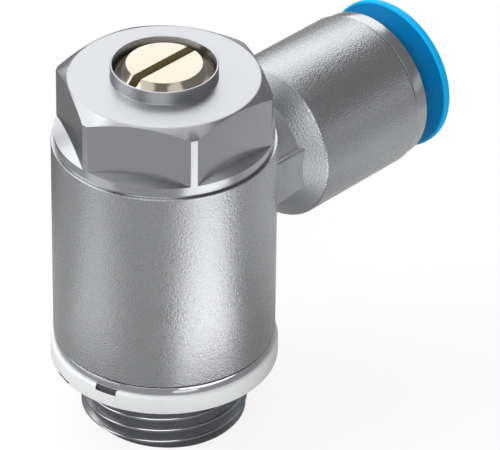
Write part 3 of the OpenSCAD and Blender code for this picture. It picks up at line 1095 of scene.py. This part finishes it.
@dataclass
class PortSealRing:
    """White ring that seals the port's face and holds the O-ring at its bore."""

    outer_r: float = 11.35
    recess_r: float = 9.511
    inner_r: float = 8.48
    step_z: float = 1.33
    height: float = 2.0
    notch_w: float = 2.3
    top_notch: Corner = (14.0, 0.55, 0.3)
    foot_notch: Corner = (-17.0, 0.3, 0.06)

    def notches(self) -> list[bpy.types.Object]:
        """Cutters of the notches: a pair in the top edge, a pair in the foot."""
        half, over = self.notch_w / 2, 0.5
        cutters = []
        for (turn, tall, deep), top in ((self.top_notch, True), (self.foot_notch, False)):
            low = (self.outer_r - deep, -half, self.height - tall if top else -over)
            high = (self.outer_r + over, half, self.height + over if top else tall)
            for side in (0.0, 180.0):
                cutters.append(Bench.block("notch_cutter", low, high, turn + side))
        return cutters

    def build(self) -> bpy.types.Object:
        """Turns the ring and cuts its notches."""
        corners: list[Corner] = [
            (self.recess_r, 0.0, 0.08),
            (self.outer_r, 0.0, 0.12),
            (self.outer_r, self.height, 0.34),
            (self.inner_r, self.height, 0.1),
            (self.inner_r, self.step_z, 0.05),
            (self.recess_r, self.step_z, 0.15),
        ]
        ring = Bench.turned("port_seal_ring_body", rounded(corners, 6))
        return Bench.combine(ring, self.notches(), "DIFFERENCE")

    def in_notch(self, place: Vector) -> bool:
        """Whether a place on the ring, in metres, lies on the inside of a notch."""
        spot = place / MM
        for (turn, tall, deep), top in ((self.top_notch, True), (self.foot_notch, False)):
            angle = math.radians(turn)
            across = abs(spot.y * math.cos(angle) - spot.x * math.sin(angle))
            depth = self.outer_r - spot.xy.length
            rise = self.height - spot.z if top else spot.z
            if across < self.notch_w / 2 + 0.01 and rise < tall + 0.01 and 0.02 < depth < deep + 0.03:
                return True
        return False

    def dress(self) -> None:
        """Builds the ring, puts it in its node's place and darkens its notches with painted shade."""
        ring = self.build()
        seat(ring, "port_seal_ring", "bolt", FINISH.white)
        # Painted shade: the notches' inner faces get the dark grey finish.
        ring.data.materials.append(FINISH.notch.material())
        for face in ring.data.polygons:
            face.material_index = int(self.in_notch(face.center))


@dataclass
class RetainingWasher:
    """Bright washer between the seal ring and the barrel."""

    inner_r: float = 8.48
    outer_r: float = 11.0
    low: float = 2.0
    high: float = 2.87

    def build(self) -> bpy.types.Object:
        """Turns the washer with eased edges."""
        corners: list[Corner] = [
            (self.inner_r, self.low, 0.1),
            (self.outer_r, self.low, 0.12),
            (self.outer_r, self.high, 0.05),
            (self.inner_r, self.high, 0.1),
        ]
        return Bench.turned("retaining_washer_body", rounded(corners))

    def dress(self) -> None:
        """Builds the washer and puts it in its node's place."""
        seat(self.build(), "retaining_washer", "bolt", FINISH.washer)


@dataclass
class SwivelBarrel:
    """Cast barrel that turns on the bolt, with its neck and connector arm."""

    outer_r: float = 11.05
    low: float = 2.92
    high: float = 24.92
    rim: float = 0.07
    foot_rim: float = 0.22
    bore_r: float = 8.5
    lead: float = 0.3
    gallery_r: float = 9.2
    gallery: Point = (14.57, 21.57)
    arm_r: float = 8.15
    back_x: float = 14.8
    cone_x: float = 13.1
    cone_r: float = 5.9
    groove: Point = (28.09, 28.22)
    groove_r: float = 7.72
    band_r: float = 7.9
    mouth_x: float = 29.7
    neck_r: float = 6.0
    web: Point = (12.3, 4.7)
    web_edge: float = 0.3
    channel_r: float = 3.6
    stop_x: float = 16.0
    pilot_r: float = 5.1
    pilot_x: float = 18.4
    socket_r: float = 6.8
    mouth_chamfer: float = 0.4

    def shell(self) -> bpy.types.Object:
        """The barrel's outside as a solid."""
        corners: list[Corner] = [
            (0.0, self.low, 0),
            (self.outer_r, self.low, self.foot_rim),
            (self.outer_r, self.high, self.rim),
            (0.0, self.high, 0),
        ]
        return Bench.turned("swivel_barrel_body", rounded(corners, 5))

    def arm(self) -> bpy.types.Object:
        """The arm's outside as a solid: coned back, body, groove line and machined band."""
        corners: list[Corner] = [
            (0.0, self.cone_x, 0),
            (self.cone_r, self.cone_x, 0),
            (self.arm_r, self.back_x, 0.34),
            (self.arm_r, self.groove[0], 0.3),
            (self.groove_r, self.groove[0], 0.03),
            (self.groove_r, self.groove[1], 0.03),
            (self.band_r, self.groove[1], 0.05),
            (self.band_r, self.mouth_x, 0.18),
            (0.0, self.mouth_x, 0),
        ]
        return Bench.turned("arm_shell", rounded(corners), Turn.ARM)

    def neck(self) -> list[bpy.types.Object]:
        """Round neck and the block of its side webs."""
        root_x = self.outer_r / 2
        middle = Vector((0, 0, LAYOUT.arm_z))
        rod = Bench.rod(
            "neck_rod",
            self.neck_r,
            middle + Vector((root_x, 0, 0)),
            middle + Vector((self.back_x, 0, 0)),
            128,
        )
        wide, tall = self.web
        low = (root_x - 0.1, -wide / 2, LAYOUT.arm_z - tall / 2)
        high = (self.back_x - 0.1, wide / 2, LAYOUT.arm_z + tall / 2)
        web = Bench.block("neck_web", low, high)

        def lengthwise(edge: bmesh.types.BMEdge) -> bool:
            """Whether an edge runs along the arm."""
            return abs(edge.verts[0].co.x - edge.verts[1].co.x) > MM

        Bench.bevel_edges(web, lengthwise, self.web_edge, 4)
        return [rod, web]

    def bores(self) -> list[bpy.types.Object]:
        """Cutters of the bore with its gallery, the air channel and the tube's socket."""
        low, high = self.gallery
        bore_r, lead = self.bore_r, self.lead
        bore = [
            (0.0, self.low - 0.5),
            (bore_r + lead, self.low - 0.5),
            (bore_r + lead, self.low),
            (bore_r, self.low + lead),
            (bore_r, low - lead),
            (self.gallery_r, low),
            (self.gallery_r, high),
            (bore_r, high + lead),
            (bore_r, self.high - lead),
            (bore_r + lead, self.high),
            (bore_r + lead, self.high + 0.5),
            (0.0, self.high + 0.5),
        ]
        chamfer = self.mouth_chamfer
        socket = [
            (0.0, self.gallery_r - 1.4),
            (self.channel_r, self.gallery_r - 1.4),
            (self.channel_r, self.stop_x),
            (self.pilot_r, self.stop_x),
            (self.pilot_r, self.pilot_x),
            (self.socket_r, self.pilot_x),
            (self.socket_r, self.mouth_x - chamfer),
            (self.socket_r + chamfer, self.mouth_x),
            (self.socket_r + chamfer, self.mouth_x + 0.5),
            (0.0, self.mouth_x + 0.5),
        ]
        return [
            Bench.turned("bore_cutter", bore),
            Bench.turned("socket_cutter", socket, Turn.ARM, 128),
        ]

    def build(self) -> bpy.types.Object:
        """Joins barrel, arm and neck, then bores them."""
        barrel = self.shell()
        Bench.combine(barrel, [self.arm(), *self.neck()], "UNION")
        return Bench.combine(barrel, self.bores(), "DIFFERENCE")

    def dress(self) -> None:
        """Builds the barrel and puts it in its node's place."""
        seat(self.build(), "swivel_barrel", "barrel", FINISH.barrel)


@dataclass
class ReleaseRing:
    """Blue ring at the arm's mouth, which slides in towards the grab ring's teeth."""

    bore_r: float = 5.15
    sleeve_r: float = 5.85
    nose_x: float = 23.05
    bead_x: Point = (23.45, 24.45)
    bead_r: float = 6.2
    cone_x: float = 29.4
    cone_r: float = 6.18
    rim_r: float = 7.95
    rim_x: float = 32.3
    front_x: float = 33.2
    flare: float = 0.9

    def build(self) -> bpy.types.Object:
        """Turns the ring about the arm's axis."""
        low, high = self.bead_x
        corners: list[Corner] = [
            (self.bore_r, self.nose_x, 0.05),
            (self.sleeve_r - 0.3, self.nose_x, 0.05),
            (self.sleeve_r, self.nose_x + 0.25, 0),
            (self.sleeve_r, low, 0),
            (self.bead_r, low + 0.1, 0.08),
            (self.bead_r, high - 0.1, 0.08),
            (self.sleeve_r, high, 0),
            (self.sleeve_r, self.cone_x - 0.3, 0.1),
            (self.cone_r, self.cone_x, 0.05),
            (self.rim_r - 0.18, self.rim_x, 0.1),
            (self.rim_r, self.rim_x + 0.12, 0.08),
            (self.rim_r, self.front_x, 0.42),
            (self.bore_r + self.flare, self.front_x, 0.2),
            (self.bore_r, self.front_x - self.flare, 0.3),
        ]
        return Bench.turned("release_ring_body", rounded(corners, 6), Turn.ARM)

    def dress(self) -> None:
        """Builds the ring and puts it in its node's place."""
        seat(self.build(), "release_ring", "release", FINISH.blue)


@dataclass
class InnerParts:
    """Seals and connector parts whose CAD shape is right: they only get their finish."""

    finishes: tuple[tuple[str, Finish], ...] = (
        ("port_o_ring", FINISH.rubber),
        ("barrel_o_ring_upper", FINISH.rubber),
        ("barrel_o_ring_lower", FINISH.rubber),
        ("check_lip_seal", FINISH.rubber),
        ("tube_seal", FINISH.rubber),
        ("screw_o_ring", FINISH.rubber),
        ("seal_spacer", FINISH.dark),
        ("grab_ring", FINISH.spring),
        ("cartridge_sleeve", FINISH.sleeve),
    )

    def dress(self) -> None:
        """Puts each node's finish on its slots."""
        for node, finish in self.finishes:
            finish.coat(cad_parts[node])
            LOG.info("%s: kept, finish %s", node, finish.name)


# Studio


@dataclass
class PhotoCamera:
    """Camera at the photograph's viewing angle, which looks down on the valve."""

    elevation: float = 33.730
    arm_azimuth: float = 46.559
    roll: float = -0.6753
    distance: float = 485.23
    lens: float = 355.65
    aside: float = 8.4224
    height: float = 14.8859

    def axes(self) -> tuple[Vector, Vector, Vector]:
        """Right, away from the camera, and up, with no roll and no tilt."""
        turn = math.radians(self.arm_azimuth)
        right = Vector((math.cos(turn), -math.sin(turn), 0))
        away = Vector((math.sin(turn), math.cos(turn), 0))
        return right, away, Vector((0, 0, 1))

    def build(self) -> bpy.types.Object:
        """Adds the camera and makes it the scene's."""
        right, away, up = self.axes()
        tilt, roll = math.radians(self.elevation), math.radians(self.roll)
        back = up * math.sin(tilt) - away * math.cos(tilt)
        lift = up * math.cos(tilt) + away * math.sin(tilt)
        side = right * math.cos(roll) - lift * math.sin(roll)
        top = right * math.sin(roll) + lift * math.cos(roll)
        target = (right * self.aside + up * self.height) * MM
        Bench.clear()
        bpy.ops.object.camera_add()
        camera = bpy.context.object
        camera.name = "photo_camera"
        place = Matrix((side, top, back)).transposed().to_4x4()
        place.translation = target + back * self.distance * MM
        camera.matrix_world = place
        camera.data.sensor_fit = "HORIZONTAL"
        camera.data.sensor_width = 36.0
        camera.data.lens = self.lens
        camera.data.clip_start = 0.01
        camera.data.clip_end = 20.0
        camera.data.dof.use_dof = False
        bpy.context.scene.camera = camera
        return camera


@dataclass(frozen=True)
class Softbox:
    """Square or strip light, aimed at the valve's middle."""

    name: str
    azimuth: float
    elevation: float
    wide: float
    tall: float
    radiance: float
    distance: float = 0.6

    def build(self, camera: PhotoCamera) -> None:
        """Adds the light.

        Args:
            camera: The camera whose side azimuths are counted from, to its right.
        """
        right, away, up = camera.axes()
        turn, tilt = math.radians(self.azimuth), math.radians(self.elevation)
        flat = right * math.sin(turn) - away * math.cos(turn)
        way = flat * math.cos(tilt) + up * math.sin(tilt)
        middle = Vector((LAYOUT.lit_x * MM, 0, LAYOUT.lit_z * MM))
        Bench.clear()
        bpy.ops.object.light_add(type="AREA", location=middle + way * self.distance)
        lamp = bpy.context.object
        lamp.name = self.name
        lamp.rotation_euler = way.to_track_quat("Z", "Y").to_euler()
        lamp.data.shape = "RECTANGLE"
        lamp.data.size = self.wide
        lamp.data.size_y = self.tall
        lamp.data.energy = self.radiance * math.pi * self.wide * self.tall
        lamp.visible_camera = False


@dataclass(frozen=True)
class FloorPanel:
    """Flat light that lies on the floor beside the valve and faces up."""

    name: str
    azimuth: float
    near: float
    far: float
    wide: float
    radiance: float
    lift: float = 0.2

    def build(self, camera: PhotoCamera) -> None:
        """Adds the light, its place in millimetres from the bolt's axis.

        Args:
            camera: The camera whose side azimuths are counted from, to its right.
        """
        right, away, _ = camera.axes()
        turn = math.radians(self.azimuth)
        out = right * math.sin(turn) - away * math.cos(turn)
        middle = out * (self.near + self.far) / 2 + Vector((0, 0, LAYOUT.floor_z + self.lift))
        Bench.clear()
        bpy.ops.object.light_add(type="AREA", location=middle * MM)
        lamp = bpy.context.object
        lamp.name = self.name
        lamp.rotation_euler = (math.pi, 0, math.atan2(out.y, out.x))
        long, wide = (self.far - self.near) * MM, self.wide * MM
        lamp.data.shape = "RECTANGLE"
        lamp.data.size = long
        lamp.data.size_y = wide
        lamp.data.energy = self.radiance * math.pi * long * wide
        lamp.visible_camera = False


@dataclass
class Studio:
    """Pale floor, soft light and a white background."""

    floor_tone: float = 0.44
    # Tone of the floor's painted shade.
    painted_shade_tone: float = 0.24
    world_light: float = 0.25
    floor_mirror: float = 0.15
    floor_white: float = 0.85
    world_mirror: float = 0.06
    seen_tone: float = 0.98
    patch_azimuth: float = -149.0
    patch_reach: Point = (34.0, 50.0)
    near_azimuth: float = -110.0
    near_reach: Point = (12.0, 21.0)
    boxes: tuple["Softbox | FloorPanel", ...] = (
        Softbox("back_box", 184.0, 34.0, 0.52, 0.46, 1.75),
        Softbox("left_back_box", -126.0, 48.0, 0.34, 0.3, 1.7),
        Softbox("top_box", 200.0, 76.0, 0.5, 0.36, 0.9),
        Softbox("left_box", -83.0, 32.0, 0.42, 0.34, 3.6),
        Softbox("right_box", 88.0, 7.0, 0.5, 0.13, 0.5),
        Softbox("front_box", -10.0, 30.0, 0.5, 0.34, 2.8),
        Softbox("left_patch_box", -62.0, 55.0, 0.3, 0.2, 0.9),
        Softbox("right_patch_box", 40.0, 57.0, 0.26, 0.2, 0.9),
        FloorPanel("washer_panel", 18.0, 21.0, 25.4, 8.0, 1.1),
        FloorPanel("right_edge", 39.0, 25.5, 31.0, 26.0, 3.0),
        FloorPanel("right_near", 39.0, 31.0, 45.0, 29.0, 1.45),
        FloorPanel("right_middle", 43.5, 45.0, 80.0, 43.0, 1.6),
        FloorPanel("right_far", 39.0, 80.0, 160.0, 80.0, 1.4),
        FloorPanel("side_panel", 105.0, 40.0, 90.0, 38.0, 0.24),
        FloorPanel("back_panel", 135.0, 25.0, 90.0, 40.0, 0.12),
        FloorPanel("left_panel", -64.0, 24.0, 130.0, 27.0, 0.5),
    )

    def backdrop(self, graph: Graph, share: "float | Signal", seen: float = 1.0) -> Signal:
        """How far a ray sees the plain white background instead of the lit surface.

        Args:
            graph: The graph to build in.
            share: Weight of the rays that metal mirrors.
            seen: Weight of the camera's rays.

        Returns:
            The factor between the lit surface and white.
        """
        rays = graph.node("ShaderNodeLightPath", {}, {})
        camera, glossy, clear = (
            Signal(graph, rays.outputs[name])
            for name in ("Is Camera Ray", "Is Glossy Ray", "Is Transmission Ray")
        )
        return camera * seen + glossy * share + clear

    def patch(self, graph: Graph, camera: PhotoCamera) -> Signal:
        """Grey parts of the floor, painted shade seen only in reflections and bounced light: far off
        on the left behind the valve, and near the valve, most on the left.
        """
        right, away, _ = camera.axes()
        x, y, _ = graph.place()
        far = (x * x + y * y).root()

        def along(azimuth: float) -> Signal:
            """Cosine of the angle between a place's direction and an azimuth."""
            turn = math.radians(azimuth)
            way = right * math.sin(turn) - away * math.cos(turn)
            return (x * way.x + y * way.y) * far**-1.0

        behind = along(self.patch_azimuth).between(0.8, 0.95) * far.between(*self.patch_reach)
        left = along(self.near_azimuth).between(0.3, 0.6) * 0.7 + 0.1
        return behind + left * (1 - far.between(*self.near_reach))

    def floor(self, camera: PhotoCamera) -> None:
        """Adds the floor under the bolt's end."""
        Bench.clear()
        bpy.ops.mesh.primitive_plane_add(size=6.0, location=(0, 0, LAYOUT.floor_z * MM - 2e-5))
        floor = Bench.settle("studio_floor")
        material = bpy.data.materials.new("floor_paper")
        graph = Graph(material)
        # Painted shade: the grey patches darken what the metal reflects and the light the floor
        # bounces, while the camera sees the pale floor.
        patch = self.patch(graph, camera)
        tones = (self.floor_tone, self.painted_shade_tone, self.seen_tone)
        plain, grey, pale = ((tone,) * 3 + (1.0,) for tone in tones)
        rays = graph.node("ShaderNodeLightPath", {}, {})
        seen = Signal(graph, rays.outputs["Is Camera Ray"])
        colour = graph.blend(seen, graph.blend(patch, plain, grey), pale)
        paper = graph.node("ShaderNodeBsdfDiffuse", {}, {"Color": colour})
        white = graph.node(
            "ShaderNodeEmission", {}, {"Color": (1.0, 1.0, 1.0, 1.0), "Strength": 1.0}
        )
        share = (1 - patch) * self.floor_mirror
        mixed = graph.node(
            "ShaderNodeMixShader",
            {},
            {
                0: self.backdrop(graph, share, self.floor_white),
                1: paper.outputs[0],
                2: white.outputs[0],
            },
        )
        graph.node("ShaderNodeOutputMaterial", {}, {"Surface": mixed.outputs[0]})
        floor.data.materials.append(material)

    def world(self) -> None:
        """Lights from all round, and shows white to the camera."""
        world = bpy.data.worlds.new("studio_world")
        bpy.context.scene.world = world
        graph = Graph(world)
        light = graph.node(
            "ShaderNodeBackground",
            {},
            {"Color": (1.0, 1.0, 1.0, 1.0), "Strength": self.world_light},
        )
        white = graph.node(
            "ShaderNodeBackground", {}, {"Color": (1.0, 1.0, 1.0, 1.0), "Strength": 1.0}
        )
        mixed = graph.node(
            "ShaderNodeMixShader",
            {},
            {0: self.backdrop(graph, self.world_mirror), 1: light.outputs[0], 2: white.outputs[0]},
        )
        graph.node("ShaderNodeOutputWorld", {}, {"Surface": mixed.outputs[0]})

    def build(self) -> None:
        """Adds camera, floor, world and lights."""
        camera = PhotoCamera()
        camera.build()
        self.floor(camera)
        self.world()
        for box in self.boxes:
            box.build(camera)
        bpy.context.scene.view_settings.view_transform = "Standard"


def main() -> None:
    """Builds the valve piece by piece, then the studio round it."""
    logging.basicConfig(level=logging.INFO, format="%(message)s")
    for part in (
        HollowBolt(),
        RegulatingScrew(),
        PortSealRing(),
        RetainingWasher(),
        SwivelBarrel(),
        ReleaseRing(),
        InnerParts(),
    ):
        part.dress()
    Studio().build()


if __name__ == "__main__":
    main()
